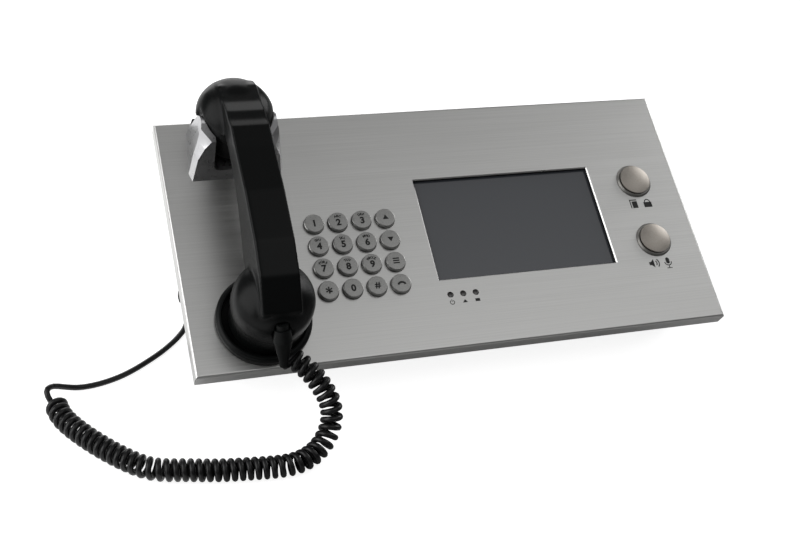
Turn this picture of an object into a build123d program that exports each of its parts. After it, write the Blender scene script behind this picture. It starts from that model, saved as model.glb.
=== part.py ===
from build123d import *
from math import ceil, cos, exp, pi, radians, sin, tan
import os

# Concierge intercom station, in millimetres. The desk is z = 0, and the origin is the middle of
# its footprint there. +X runs along the console, +Y runs away from the person who uses it.

# Face plate: a folded stainless tray, tilted towards the user
plate_width = 425
plate_depth = 210
fold_depth = 12
sheet = 2
bend_radius = 2
seam = 0.3
tilt = 25
front_edge_y = -89.05
front_edge_z = 38
screen_x, screen_slope = 57.7, 100.5
screen_width, screen_height = 153.2, 89.6
keypad_x, keypad_slope = -77.65, 83.8
key_pitch = 18.83
key_hole_radius = 8.1
lamp_slope = 43.2
lamp_xs = (-12.3, -1.9, 8.4)
lamp_hole_radius = 2.5
button_x = 172.7
button_slopes = (128.2, 72.9)
barrel_radius = 10.8

# Housing: a folded steel wedge under the plate, with upright walls
half_width = 190
front_wall_y = front_edge_y + 33
back_wall_y = front_edge_y + 170.5
wall = 1.2
base_bottom = 4
base_sheet = 1.5
housing_bottom = base_bottom + base_sheet
middle_y = (front_wall_y + back_wall_y) / 2
tab_width, tab_thickness = 16, 1.2
front_tab_slope, back_tab_slope = 41.5, 179
front_tab_xs, back_tab_xs = (-158, 35, 150), (-100, 35, 150)
side_tab_x = 182.3
side_tab_slopes = (100.5, 152)
lip = 10
desk_bolt_x, desk_bolt_y = 300, 100
desk_bolt_radius = 2.75

# Telephone handset and what it rests on
handset_x = -156
cradle_x = -156.5
cup_x, cup_slope = -157.8, 38.1
mouth_slope, ear_slope = 37.5, 191
back_half_width = 14.3
ear_x = -157.2
mouth_radius, ear_radius = 29.5, 29.2
mouth_rim, ear_rim = 26, 34
cup_radius, cup_bore, cup_height = 35, 30.5, 7.5
cradle_floor, pocket_radius = 10, 27.3
cup_floor = 1.5

# Hook switch under the cradle, worked by a lever that the ear cap presses
hook_slope, hook_height = 157, -8
hook_pin_radius = 1.5

# Fasteners
m3, m4 = 1.5, 2
thread_gap = 0.04
clearance = 0.2

# Handset cord
wire = 4.2
coil_radius = 6
rest_pitch = 5.4
stretch, stretch_length = 0.9, 45
curl_gap = 0.95

deck = Plane(
    origin=(0, front_edge_y, front_edge_z),
    x_dir=(1, 0, 0),
    z_dir=(0, -sin(radians(tilt)), cos(radians(tilt))),
)
deck_out = Axis(origin=deck.origin, direction=deck.z_dir)


def on_deck(x, slope, height=0):
    """Plane parallel to the face plate, at x across it, slope up from its front edge, height out."""
    origin = deck.from_local_coords((x, slope, height))
    return Plane(origin=origin, x_dir=deck.x_dir, z_dir=deck.z_dir)


def section_at(x, slope):
    """Upright cut across the face plate: local x runs across, local y runs out of the plate."""
    return Plane(origin=deck.from_local_coords((x, slope, 0)), x_dir=deck.x_dir, z_dir=-deck.y_dir)


def side_at(x):
    """Cut from front to back: local x runs up the slope, local y runs out of the plate."""
    return Plane(origin=deck.from_local_coords((x, 0, 0)), x_dir=deck.y_dir, z_dir=deck.x_dir)


def normal_at(x, slope):
    """Axis square to the face plate."""
    return Axis(origin=deck.from_local_coords((x, slope, 0)), direction=deck.z_dir)


def desk(x, y, z):
    """Point over the desk, with y measured back from the plate's front edge."""
    return Vector(x, front_edge_y + y, z)


def underside(y, below=sheet):
    """Height over the desk of the layer that lies so far below the plate's face."""
    return front_edge_z + (y - front_edge_y) * tan(radians(tilt)) - below / cos(radians(tilt))


def save(builder, name):
    builder.part.label = name
    export_step(builder.part, f"parts/{name}.step")


os.makedirs("parts", exist_ok=True)

key_steps = (-1.5, -0.5, 0.5, 1.5)
key_places = [
    (keypad_x + column * key_pitch, keypad_slope - row * key_pitch)
    for row in key_steps
    for column in key_steps
]
keypad_half = 45
keypad_stud = 41.5
corners = ((-1, -1), (-1, 1), (1, -1), (1, 1))
keypad_stud_places = [(keypad_x + i * keypad_stud, keypad_slope + j * keypad_stud) for i, j in corners]
display_stud_x, display_stud_slope = 81.3, 35
display_stud_places = [
    (screen_x + i * display_stud_x, screen_slope + j * display_stud_slope) for i, j in corners
]
lamp_stud = 17.5
lamp_stud_places = [(lamp_xs[1] + i * lamp_stud, lamp_slope) for i in (-1, 1)]
hook_stud_places = [(cradle_x - 12, 162), (cradle_x + 12, 162)]
tab_places = [(x, front_tab_slope) for x in front_tab_xs] + [(x, back_tab_slope) for x in back_tab_xs]
side_tab_places = [(side * side_tab_x, slope) for side in (-1, 1) for slope in side_tab_slopes]
cradle_screw_places = [(cradle_x + i * 22, slope) for i in (-1, 1) for slope in (168, 178)]
cup_screw_radius = 32.75
cup_screw_places = [
    (cup_x + cup_screw_radius * cos(radians(turn)), cup_slope + cup_screw_radius * sin(radians(turn)))
    for turn in (15, 75, 135)
]
lever_slot_centre, lever_slot_length, lever_slot_width = 177.8, 12, 6.4

# Face plate with its holes and the studs that are welded under it
with BuildPart() as face_plate:
    with BuildSketch(on_deck(0, plate_depth / 2)):
        Rectangle(plate_width, plate_depth)
    extrude(amount=-fold_depth)
    fillet(face_plate.faces().sort_by(deck_out)[-1].edges(), radius=bend_radius)
    with BuildSketch(on_deck(0, plate_depth / 2, -sheet)):
        Rectangle(plate_width - 2 * sheet, plate_depth - 2 * sheet)
    extrude(amount=-fold_depth, mode=Mode.SUBTRACT)
    with BuildSketch(on_deck(0, plate_depth / 2, -sheet)):
        for i, j in corners:
            with Locations((i * plate_width / 2, j * plate_depth / 2)):
                Rectangle(4 * sheet, seam, rotation=45 * i * j)
    extrude(amount=-fold_depth, mode=Mode.SUBTRACT)
    with BuildSketch(deck):
        with Locations((screen_x, screen_slope)):
            RectangleRounded(screen_width, screen_height, 1)
        with Locations(*key_places):
            Circle(key_hole_radius)
        with Locations(*[(x, lamp_slope) for x in lamp_xs]):
            Circle(lamp_hole_radius)
        with Locations(*[(button_x, slope) for slope in button_slopes]):
            Circle(barrel_radius + clearance)
        with Locations(*cradle_screw_places):
            Circle(m4 + clearance)
        with Locations(*cup_screw_places):
            Circle(m3 + clearance)
        with Locations((cradle_x, lever_slot_centre)):
            Rectangle(lever_slot_width, lever_slot_length)
    extrude(amount=-2 * sheet, mode=Mode.SUBTRACT)
    for places, radius, length in (
        (tab_places + side_tab_places, m4, 5.6),
        (keypad_stud_places, m3, 12.6),
        (display_stud_places, m3, 14.4),
        (lamp_stud_places, m3, 7.4),
        (hook_stud_places, m3, 4),
    ):
        with BuildSketch(on_deck(0, 0, -sheet)):
            with Locations(*places):
                Circle(radius)
        extrude(amount=-length)
save(face_plate, "face_plate")

speaker_y, speaker_z, speaker_radius = front_edge_y + 140, 35, 26
microphone_x, microphone_z, microphone_radius = 120, 24, 5
socket_x, socket_z, socket_width, socket_height = 60, 20, 17, 14
gland_y, gland_z, gland_thread = front_edge_y + 122, 13, 5
base_screw_xs = (-160, 0, 160)
base_screw_places = [(x, y) for x in base_screw_xs for y in (front_wall_y + 6, back_wall_y - 6)]

# Housing: four walls, bent tabs under the plate and bent lips over the base
with BuildPart() as housing:
    with BuildSketch(Plane.YZ.offset(-half_width)):
        with BuildLine():
            Polyline(
                (front_wall_y, housing_bottom),
                (back_wall_y, housing_bottom),
                (back_wall_y, underside(back_wall_y)),
                (front_wall_y, underside(front_wall_y)),
                close=True,
            )
        make_face()
    extrude(amount=2 * half_width)
    fillet(housing.edges().filter_by(Axis.Z), radius=2)
    with BuildSketch(Plane.XY.offset(housing_bottom)):
        with Locations((0, middle_y)):
            RectangleRounded(2 * (half_width - wall), back_wall_y - front_wall_y - 2 * wall, 1)
    extrude(amount=200, mode=Mode.SUBTRACT)
    with BuildSketch(Plane.XY.offset(housing_bottom)):
        for y in (front_wall_y + lip / 2 + wall / 2, back_wall_y - lip / 2 - wall / 2):
            with Locations((0, y)):
                Rectangle(2 * half_width - 12, lip + wall)
        with Locations(*base_screw_places):
            Circle(m3 + thread_gap, mode=Mode.SUBTRACT)
    extrude(amount=wall)
    with BuildSketch(on_deck(0, 0, -sheet)):
        for x in front_tab_xs:
            with Locations((x, front_tab_slope - 0.5)):
                Rectangle(tab_width, 11.4)
        for x in back_tab_xs:
            with Locations((x, back_tab_slope + 0.8)):
                Rectangle(tab_width, 12.6)
        for x, slope in side_tab_places:
            with Locations((x * 1.005, slope)):
                Rectangle(12.4, tab_width)
        with Locations(*tab_places, *side_tab_places):
            Circle(m4 + clearance, mode=Mode.SUBTRACT)
    extrude(amount=-tab_thickness)
    with BuildSketch(Plane.YZ.offset(half_width)):
        with Locations((speaker_y, speaker_z)):
            Circle(1.5)
            for ring in (1, 2, 3):
                with PolarLocations(5.6 * ring, 6 * ring):
                    Circle(1.5)
    extrude(amount=-2 * wall, mode=Mode.SUBTRACT)
    with BuildSketch(Plane.YZ.offset(-half_width)):
        with Locations((gland_y, gland_z)):
            Circle(gland_thread + clearance)
    extrude(amount=2 * wall, mode=Mode.SUBTRACT)
    with BuildSketch(Plane.XZ.offset(-front_wall_y)):
        with Locations((microphone_x, microphone_z)):
            Circle(1.5)
    extrude(amount=-2 * wall, mode=Mode.SUBTRACT)
    with BuildSketch(Plane.XZ.offset(-back_wall_y)):
        with Locations((socket_x, socket_z)):
            Rectangle(socket_width + 0.4, socket_height + 0.4)
    extrude(amount=2 * wall, mode=Mode.SUBTRACT)
save(housing, "housing")

foot_places = [(i * 172, y) for i in (-1, 1) for y in (front_wall_y + 18, back_wall_y - 18)]
foot_radius, foot_stem_radius = 8, 3

# Base plate with its desk-fixing holes
with BuildPart() as base_plate:
    with BuildSketch(Plane.XY.offset(base_bottom)):
        with Locations((0, middle_y)):
            RectangleRounded(2 * half_width, back_wall_y - front_wall_y, 2)
            with GridLocations(desk_bolt_x, desk_bolt_y, 2, 2):
                Circle(desk_bolt_radius, mode=Mode.SUBTRACT)
        with Locations(*base_screw_places):
            Circle(m3 + clearance, mode=Mode.SUBTRACT)
        with Locations(*foot_places):
            Circle(foot_stem_radius + 0.05, mode=Mode.SUBTRACT)
        with Locations((0, middle_y)):
            with GridLocations(14, 0.1, 9, 1):
                SlotOverall(40, 3, rotation=90, mode=Mode.SUBTRACT)
    extrude(amount=base_sheet)
save(base_plate, "base_plate")

with BuildPart() as base_screws:
    with BuildSketch(Plane.XY.offset(base_bottom)):
        with Locations(*base_screw_places):
            Circle(2.75)
    extrude(amount=-1.8)
    with BuildSketch(Plane.XY.offset(base_bottom)):
        with Locations(*base_screw_places):
            Circle(m3)
    extrude(amount=7)
    with BuildSketch(Plane.XY.offset(base_bottom - 1.8)):
        with Locations(*base_screw_places):
            RegularPolygon(1.2, 6)
    extrude(amount=1, mode=Mode.SUBTRACT)
save(base_screws, "base_screws")

with BuildPart() as rubber_feet:
    with BuildSketch(Plane.XY):
        with Locations(*foot_places):
            Circle(foot_radius)
    extrude(amount=base_bottom)
    chamfer(rubber_feet.faces().filter_by(Axis.Z).group_by(Axis.Z)[0].edges(), length=0.8)
    with BuildSketch(Plane.XY.offset(base_bottom)):
        with Locations(*foot_places):
            Circle(foot_stem_radius)
    extrude(amount=base_sheet + 1)
save(rubber_feet, "rubber_feet")

# Nuts on the studs: M4 ones hold the housing, M3 ones hold what hangs under the plate
with BuildPart() as plate_nuts:
    with BuildSketch(on_deck(0, 0, -sheet - tab_thickness)):
        with Locations(*tab_places, *side_tab_places):
            RegularPolygon(4, 6)
            Circle(m4 + thread_gap, mode=Mode.SUBTRACT)
    extrude(amount=-3.2)
save(plate_nuts, "plate_nuts")

board_bottom = 11.8
bracket_bottom = 13.6
lamp_board_top, lamp_board_bottom = 5, 6.6
with BuildPart() as stud_nuts:
    for places, height in (
        (keypad_stud_places, board_bottom),
        (display_stud_places, bracket_bottom),
        (lamp_stud_places, lamp_board_bottom),
        (hook_stud_places, sheet + tab_thickness),
    ):
        with BuildSketch(on_deck(0, 0, -height)):
            with Locations(*places):
                RegularPolygon(3.1, 6)
                Circle(m3 + thread_gap, mode=Mode.SUBTRACT)
        extrude(amount=-2.2)
save(stud_nuts, "stud_nuts")

# Cradle: a bright casting whose two lugs hold the ear end between them
lug_front = 157.5
lean = 0.3
cradle_back = 200
lug_sections = (
    (0, 34, 36, 32.5),
    (20, 31, 33, 30.6),
    (30, 26.4, 31, 29.8),
    (36, 21.7, 30, 29.4),
    (44, 20, 28, 28.6),
)
notch_half_width, notch_bottom = 18.5, 9
with BuildPart() as cradle:
    for height, front_half, side_half, back_half in lug_sections:
        front = lug_front + lean * height
        with BuildSketch(on_deck(cradle_x, 0, height)):
            with BuildLine():
                Polyline(
                    (-front_half, front),
                    (front_half, front),
                    (side_half, front + 7),
                    (back_half, cradle_back),
                    (-back_half, cradle_back),
                    (-side_half, front + 7),
                    close=True,
                )
            make_face()
    loft(ruled=True)
    with BuildSketch(side_at(cradle_x)):
        with BuildLine():
            Line((150, 0), (150, 36))
            Line((150, 36), (lug_front + 36 * lean, 36))
            Line((lug_front + 36 * lean, 36), (180.5, 43))
            Spline(
                (180.5, 43), (185.6, 43.2), (191.5, 34), (197, 17), (199.6, 0),
                tangents=[(1, 0.42), (0.08, -1)],
            )
            Line((199.6, 0), (150, 0))
        make_face()
    extrude(amount=60, both=True, mode=Mode.INTERSECT)
    with BuildSketch(on_deck(handset_x, ear_slope, cradle_floor)):
        Circle(pocket_radius)
    extrude(amount=60, mode=Mode.SUBTRACT)
    with BuildSketch(section_at(cradle_x, ear_slope)):
        with Locations((0, notch_bottom + 30)):
            RectangleRounded(2 * notch_half_width, 60, 4)
    extrude(amount=60, mode=Mode.SUBTRACT)
    with BuildSketch(on_deck(0, 0)):
        with Locations((cradle_x, lever_slot_centre)):
            Rectangle(lever_slot_width, lever_slot_length)
    extrude(amount=2 * cradle_floor, mode=Mode.SUBTRACT)
    with BuildSketch(on_deck(0, 0)):
        with Locations(*cradle_screw_places):
            Circle(m4 + thread_gap)
    extrude(amount=7, mode=Mode.SUBTRACT)
save(cradle, "cradle")

with BuildPart() as cradle_screws:
    with BuildSketch(on_deck(0, 0, -sheet)):
        with Locations(*cradle_screw_places):
            Circle(3.5)
    extrude(amount=-2.2)
    with BuildSketch(on_deck(0, 0, -sheet)):
        with Locations(*cradle_screw_places):
            Circle(m4)
    extrude(amount=sheet + 6.5)
    with BuildSketch(on_deck(0, 0, -sheet - 2.2)):
        with Locations(*cradle_screw_places):
            RegularPolygon(1.5, 6)
    extrude(amount=1.3, mode=Mode.SUBTRACT)
save(cradle_screws, "cradle_screws")

# Cup ring for the mouth end
with BuildPart() as mouth_cup:
    with BuildSketch(section_at(cup_x, cup_slope)):
        with BuildLine():
            Polyline((0, cup_floor), (0, 0), (cup_radius, 0), (cup_radius, 4.2))
            ThreePointArc((cup_radius, 4.2), (cup_radius - 0.9, 6.5), (cup_radius - 2.6, cup_height))
            Polyline(
                (cup_radius - 2.6, cup_height), (cup_bore + 0.8, cup_height), (cup_bore, cup_height - 0.8),
                (cup_bore, cup_floor), (0, cup_floor),
            )
        make_face()
    revolve(axis=normal_at(cup_x, cup_slope))
    with BuildSketch(on_deck(0, 0)):
        with Locations(*cup_screw_places):
            Circle(m3 + thread_gap)
    extrude(amount=5.5, mode=Mode.SUBTRACT)
save(mouth_cup, "mouth_cup")

with BuildPart() as cup_screws:
    with BuildSketch(on_deck(0, 0, -sheet)):
        with Locations(*cup_screw_places):
            Circle(2.6)
    extrude(amount=-1.8)
    with BuildSketch(on_deck(0, 0, -sheet)):
        with Locations(*cup_screw_places):
            Circle(m3)
    extrude(amount=sheet + 5)
    with BuildSketch(on_deck(0, 0, -sheet - 1.8)):
        with Locations(*cup_screw_places):
            RegularPolygon(1.2, 6)
    extrude(amount=1, mode=Mode.SUBTRACT)
save(cup_screws, "cup_screws")

# Hook bracket: a folded channel under the plate, with two ears on the studs
channel_inner, channel_outer = 5.2, 6.4
channel_front, channel_back, channel_bottom = 152, 174, -21.4
with BuildPart() as hook_bracket:
    with BuildSketch(section_at(cradle_x, channel_back)):
        with BuildLine():
            Polyline(
                (-17, -sheet), (-channel_inner, -sheet), (-channel_inner, channel_bottom + wall),
                (channel_inner, channel_bottom + wall), (channel_inner, -sheet), (17, -sheet),
                (17, -sheet - wall), (channel_outer, -sheet - wall), (channel_outer, channel_bottom),
                (-channel_outer, channel_bottom), (-channel_outer, -sheet - wall), (-17, -sheet - wall),
                close=True,
            )
        make_face()
    extrude(amount=channel_back - channel_front)
    with BuildSketch(on_deck(0, 0, -sheet)):
        with Locations(*hook_stud_places):
            Circle(m3 + clearance)
    extrude(amount=-2 * wall, mode=Mode.SUBTRACT)
    with BuildSketch(side_at(cradle_x)):
        with Locations((hook_slope, hook_height)):
            Circle(hook_pin_radius + 0.02)
    extrude(amount=10, both=True, mode=Mode.SUBTRACT)
save(hook_bracket, "hook_bracket")

with BuildPart() as hook_pin:
    with BuildSketch(side_at(cradle_x)):
        with Locations((hook_slope, hook_height)):
            Circle(hook_pin_radius)
    extrude(amount=channel_outer + 0.6, both=True)
save(hook_pin, "hook_pin")

arm_top, arm_bottom = -6.4, -9.8
tongue_front, tongue_back = 176, 180
with BuildPart() as hook_lever:
    with BuildSketch(side_at(cradle_x)):
        with BuildLine():
            Polyline(
                (hook_slope, arm_bottom), (tongue_back, arm_bottom), (tongue_back, cradle_floor - 1.2),
                (tongue_back - 1, cradle_floor), (tongue_front + 1, cradle_floor),
                (tongue_front, cradle_floor - 1.2), (tongue_front, arm_top), (hook_slope, arm_top),
                close=True,
            )
        make_face()
    extrude(amount=2.4, both=True)
    with BuildSketch(side_at(cradle_x)):
        with Locations((hook_slope, hook_height)):
            Circle(3.2)
    extrude(amount=channel_inner - 0.15, both=True)
    with BuildSketch(side_at(cradle_x)):
        with Locations((hook_slope, hook_height)):
            Circle(hook_pin_radius + 0.05)
    extrude(amount=10, both=True, mode=Mode.SUBTRACT)
save(hook_lever, "hook_lever")

with BuildPart() as hook_switch:
    with BuildSketch(side_at(cradle_x)):
        with Locations((167.5, -16)):
            Rectangle(12, 8.4)
    extrude(amount=channel_inner - 0.05, both=True)
    with BuildSketch(on_deck(cradle_x, 170, -12)):
        Circle(1.1)
    extrude(amount=2.1)
save(hook_switch, "hook_switch")

# Keypad: frame, mat with a dome under each key, and board
frame_bottom, mat_bottom = 9, 10.2
with BuildPart() as keypad_frame:
    with BuildSketch(on_deck(0, 0, -sheet)):
        with Locations((keypad_x, keypad_slope)):
            RectangleRounded(2 * keypad_half, 2 * keypad_half, 2)
        with Locations(*key_places):
            Circle(8.9, mode=Mode.SUBTRACT)
        with Locations(*keypad_stud_places):
            Circle(m3 + clearance, mode=Mode.SUBTRACT)
    extrude(amount=sheet - frame_bottom)
save(keypad_frame, "keypad_frame")

with BuildPart() as keypad_mat:
    with BuildSketch(on_deck(0, 0, -mat_bottom)):
        with Locations((keypad_x, keypad_slope)):
            RectangleRounded(2 * keypad_half, 2 * keypad_half, 2)
        with Locations(*keypad_stud_places):
            Circle(m3 + clearance, mode=Mode.SUBTRACT)
    extrude(amount=mat_bottom - frame_bottom)
    with BuildSketch(on_deck(0, 0, -frame_bottom)):
        with Locations(*key_places):
            Circle(4.5)
    extrude(amount=1.9, taper=25)
save(keypad_mat, "keypad_mat")

with BuildPart() as keypad_board:
    with BuildSketch(on_deck(0, 0, -board_bottom)):
        with Locations((keypad_x, keypad_slope)):
            RectangleRounded(2 * keypad_half, 2 * keypad_half, 2)
        with Locations(*keypad_stud_places):
            Circle(m3 + clearance, mode=Mode.SUBTRACT)
    extrude(amount=board_bottom - mat_bottom)
    with BuildSketch(on_deck(keypad_x, keypad_slope, -board_bottom)):
        with Locations((20, 30)):
            Rectangle(24, 6)
        with Locations((-12, -8)):
            Rectangle(12, 12)
    extrude(amount=-2.6)
save(keypad_board, "keypad_board")

# Sixteen metal keys, each turned in one piece with its flange and stem
key_names = (
    "key_1", "key_2", "key_3", "key_up",
    "key_4", "key_5", "key_6", "key_down",
    "key_7", "key_8", "key_9", "key_menu",
    "key_star", "key_0", "key_hash", "key_call",
)
key_radius, key_face_radius, key_height = 7.8, 6.9, 3.7
key_travel = 1.2
for name, (x, slope) in zip(key_names, key_places):
    with BuildPart() as key:
        with BuildSketch(section_at(x, slope)):
            with BuildLine():
                Polyline(
                    (0, key_height), (0, -5.7), (3, -5.7), (3, -3.4), (8.6, -3.4), (8.6, -2.2),
                    (key_radius, -2.2), (key_radius, key_height - 1.1),
                )
                ThreePointArc(
                    (key_radius, key_height - 1.1), (key_radius - 0.22, key_height - 0.5),
                    (key_face_radius, key_height - 0.15),
                )
                Line((key_face_radius, key_height - 0.15), (0, key_height))
            make_face()
        revolve(axis=normal_at(x, slope))
    save(key, name)

# Screen: gasket, window, display panel and the bracket that clamps them
gasket_bottom, window_bottom, panel_bottom = 3.4, 5.4, 12.4
with BuildPart() as screen_gasket:
    with BuildSketch(on_deck(screen_x, screen_slope, -gasket_bottom)):
        RectangleRounded(158, 94, 2)
        RectangleRounded(screen_width - 1.6, screen_height - 1, 1, mode=Mode.SUBTRACT)
    extrude(amount=gasket_bottom - sheet)
save(screen_gasket, "screen_gasket")

with BuildPart() as screen_window:
    with BuildSketch(on_deck(screen_x, screen_slope, -window_bottom)):
        RectangleRounded(156, 93, 2)
    extrude(amount=window_bottom - gasket_bottom)
save(screen_window, "screen_window")

with BuildPart() as display_panel:
    with BuildSketch(on_deck(screen_x, screen_slope, -panel_bottom)):
        RectangleRounded(155, 92, 1)
    extrude(amount=panel_bottom - window_bottom)
save(display_panel, "display_panel")

with BuildPart() as display_bracket:
    with BuildSketch(on_deck(screen_x, screen_slope, -bracket_bottom)):
        RectangleRounded(170.6, 96, 3)
        RectangleRounded(132, 70, 4, mode=Mode.SUBTRACT)
        with GridLocations(2 * display_stud_x, 2 * display_stud_slope, 2, 2):
            Circle(m3 + clearance, mode=Mode.SUBTRACT)
    extrude(amount=bracket_bottom - panel_bottom)
save(display_bracket, "display_bracket")

# Three indicator lamps on their small board
with BuildPart() as indicator_lamps:
    for x in lamp_xs:
        with BuildSketch(section_at(x, lamp_slope)):
            with BuildLine():
                Polyline(
                    (0, -0.5), (0, -lamp_board_top), (3.2, -lamp_board_top), (3.2, -2.3), (2.35, -2.3),
                    (2.35, -1),
                )
                TangentArc((0, -0.5), (2.35, -1), tangent=(1, 0))
            make_face()
        revolve(axis=normal_at(x, lamp_slope))
save(indicator_lamps, "indicator_lamps")

with BuildPart() as indicator_board:
    with BuildSketch(on_deck(lamp_xs[1], lamp_slope, -lamp_board_bottom)):
        RectangleRounded(42, 13, 1)
        with Locations((-lamp_stud, 0), (lamp_stud, 0)):
            Circle(m3 + clearance, mode=Mode.SUBTRACT)
    extrude(amount=lamp_board_bottom - lamp_board_top)
save(indicator_board, "indicator_board")

# Two large push buttons with bevelled collars
button_names = ("unlock_button", "handsfree_button")
cap_radius, cap_bottom, cap_rim, cap_top = 12.8, 2.7, 3.5, 5.9
stem_radius, stem_bottom = 7.9, -18
barrel_bottom = -20
collar_radius, collar_inner, collar_height, collar_floor = 15, 13.1, 2, 0.8
for name, slope in zip(button_names, button_slopes):
    with BuildPart() as button:
        with BuildSketch(section_at(button_x, slope)):
            with BuildLine():
                Polyline(
                    (0, cap_top), (0, stem_bottom), (stem_radius, stem_bottom), (stem_radius, cap_bottom),
                    (cap_radius, cap_bottom), (cap_radius, cap_rim),
                )
                TangentArc((0, cap_top), (cap_radius, cap_rim), tangent=(1, 0))
            make_face()
        revolve(axis=normal_at(button_x, slope))
    save(button, name)

with BuildPart() as button_collars:
    for slope in button_slopes:
        with BuildSketch(section_at(button_x, slope)):
            with BuildLine():
                Polyline(
                    (stem_radius + 0.1, collar_floor), (stem_radius + 0.1, barrel_bottom),
                    (barrel_radius, barrel_bottom), (barrel_radius, 0), (collar_radius, 0),
                    (collar_radius, 0.7), (collar_radius - 1, collar_height), (collar_inner, collar_height),
                    (collar_inner, collar_floor),
                    close=True,
                )
            make_face()
        revolve(axis=normal_at(button_x, slope))
save(button_collars, "button_collars")

with BuildPart() as button_nuts:
    for slope in button_slopes:
        with BuildSketch(on_deck(button_x, slope, -sheet)):
            Circle(14)
            Circle(barrel_radius + thread_gap, mode=Mode.SUBTRACT)
            with PolarLocations(14, 6):
                Rectangle(2.4, 3, mode=Mode.SUBTRACT)
        extrude(amount=-3.5)
save(button_nuts, "button_nuts")

with BuildPart() as button_switches:
    for slope in button_slopes:
        with BuildSketch(on_deck(button_x, slope, barrel_bottom)):
            RectangleRounded(20, 24, 2)
        extrude(amount=-14)
        with BuildSketch(on_deck(button_x, slope, barrel_bottom - 14)):
            with GridLocations(10, 12, 2, 2):
                Rectangle(0.8, 4.8)
        extrude(amount=-4)
save(button_switches, "button_switches")

# Main board on four spacers over the base
board_z, board_y = 12, front_edge_y + 105
board_hole_x, board_hole_y = 150, 78
with BuildPart() as board_spacers:
    with BuildSketch(Plane.XY.offset(housing_bottom)):
        with Locations((0, board_y)):
            with GridLocations(board_hole_x, board_hole_y, 2, 2):
                RegularPolygon(3.2, 6)
    extrude(amount=board_z - housing_bottom)
    with BuildSketch(Plane.XY.offset(board_z)):
        with Locations((0, board_y)):
            with GridLocations(board_hole_x, board_hole_y, 2, 2):
                Circle(m3)
    extrude(amount=3.6)
save(board_spacers, "board_spacers")

with BuildPart() as main_board:
    with BuildSketch(Plane.XY.offset(board_z)):
        with Locations((0, board_y)):
            RectangleRounded(160, 88, 3)
            with GridLocations(board_hole_x, board_hole_y, 2, 2):
                Circle(m3 + clearance, mode=Mode.SUBTRACT)
    extrude(amount=1.6)
    for x, y, width, depth, height in (
        (-40, 12, 24, 24, 2.4), (8, 6, 14, 20, 2.2), (45, 20, 18, 14, 10), (-8, -30, 40, 7, 8),
        (40, -28, 16, 12, 12), (-60, -24, 12, 10, 6),
    ):
        with BuildSketch(Plane.XY.offset(board_z + 1.6)):
            with Locations((x, board_y + y)):
                Rectangle(width, depth)
        extrude(amount=height)
save(main_board, "main_board")

# Loudspeaker behind the perforated wall
with BuildPart() as loudspeaker:
    inner = half_width - wall
    speaker_plane = Plane(origin=(0, speaker_y, speaker_z), x_dir=(1, 0, 0), z_dir=(0, -1, 0))
    with BuildSketch(speaker_plane):
        with BuildLine():
            Polyline(
                (inner - 21, 0), (inner - 21, 15), (inner - 11, 15), (inner - 1.5, 23.5),
                (inner - 1.5, speaker_radius), (inner, speaker_radius), (inner, 22), (inner - 7, 6),
                (inner - 5.5, 0), close=True,
            )
        make_face()
    revolve(axis=Axis(origin=speaker_plane.origin, direction=(1, 0, 0)))
save(loudspeaker, "loudspeaker")

with BuildPart() as microphone:
    with BuildSketch(Plane.XZ.offset(-front_wall_y - wall)):
        with Locations((microphone_x, microphone_z)):
            Circle(microphone_radius)
    extrude(amount=-7)
    chamfer(microphone.edges().sort_by(Axis.Y)[-1], length=0.8)
save(microphone, "microphone")

# Line socket in the back wall, open to the back
socket_depth, jack_width, jack_height, jack_depth = 14.5, 11.7, 7.6, 12
with BuildPart() as line_socket:
    with BuildSketch(Plane.XZ.offset(-back_wall_y - 0.5)):
        with Locations((socket_x, socket_z)):
            Rectangle(socket_width, socket_height)
    extrude(amount=socket_depth)
    with BuildSketch(Plane.XZ.offset(-back_wall_y + wall)):
        with Locations((socket_x, socket_z)):
            Rectangle(socket_width + 4, socket_height + 4)
    extrude(amount=2)
    with BuildSketch(Plane.XZ.offset(-back_wall_y - 0.5)):
        with Locations((socket_x, socket_z - 0.6)):
            Rectangle(jack_width, jack_height)
        with Locations((socket_x, socket_z + 4)):
            Rectangle(6, 3)
    extrude(amount=jack_depth, mode=Mode.SUBTRACT)
save(line_socket, "line_socket")

# Handset body: a flat-backed handle between two domed drums, hollow inside
spine = (
    (20, 34), (18, 53.5), (40.6, 67.5), (65, 73.5), (104, 74.6), (140, 71.8), (158, 71.4),
    (166, 68), (174, 66.4), (186, 60.9), (203.7, 56.4), (211, 50.6), (216.6, 42), (216.6, 38),
    (176, 38), (166, 45), (153, 48.5), (126, 46.5), (105, 41), (72, 26.2), (60, 27),
)
cavity = (
    (16, 34), (21, 50), (42, 64.6), (66, 70.6), (104, 71.6), (140, 68.8), (158, 68.2), (186, 57.6),
    (203, 53), (206, 44), (170, 46.5), (153, 51.4), (125, 49.4), (103, 43.5), (70, 30),
)
mouth_pocket, ear_pocket = 26, 23
lug_relief, lug_top = 1.6, 43.2
shell = 2.8
boot_foot = deck.from_local_coords((handset_x, 11.5, 44))
boot_tip = deck.from_local_coords((handset_x + 1.7, -6, 20.5))
boot_way = (boot_tip - boot_foot).normalized()
boot_length = (boot_tip - boot_foot).length
boot_axis = Axis(origin=boot_foot, direction=boot_way)
boot_side = boot_way.cross(Vector(0, 0, 1)).normalized()
boot_cut = Plane(origin=boot_foot, x_dir=boot_side, z_dir=boot_side.cross(boot_way))
boot_plug, boot_fit = 4, 0.1


def boot_outline(plug, fit=0.0):
    """Half outline of the boot, plug first, as (radius, distance along it), or of its socket."""
    return (
        (0, -plug), (4.4 + fit, -plug), (4.4 + fit, 0), (5.6 + fit, 0),
        (6.8 + fit, 0.3 * boot_length), (5 + fit, 0.6 * boot_length),
        (3.4 + fit, 0.85 * boot_length), (3.1 + fit, boot_length),
        (0, boot_length), (0, -plug),
    )


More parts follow.
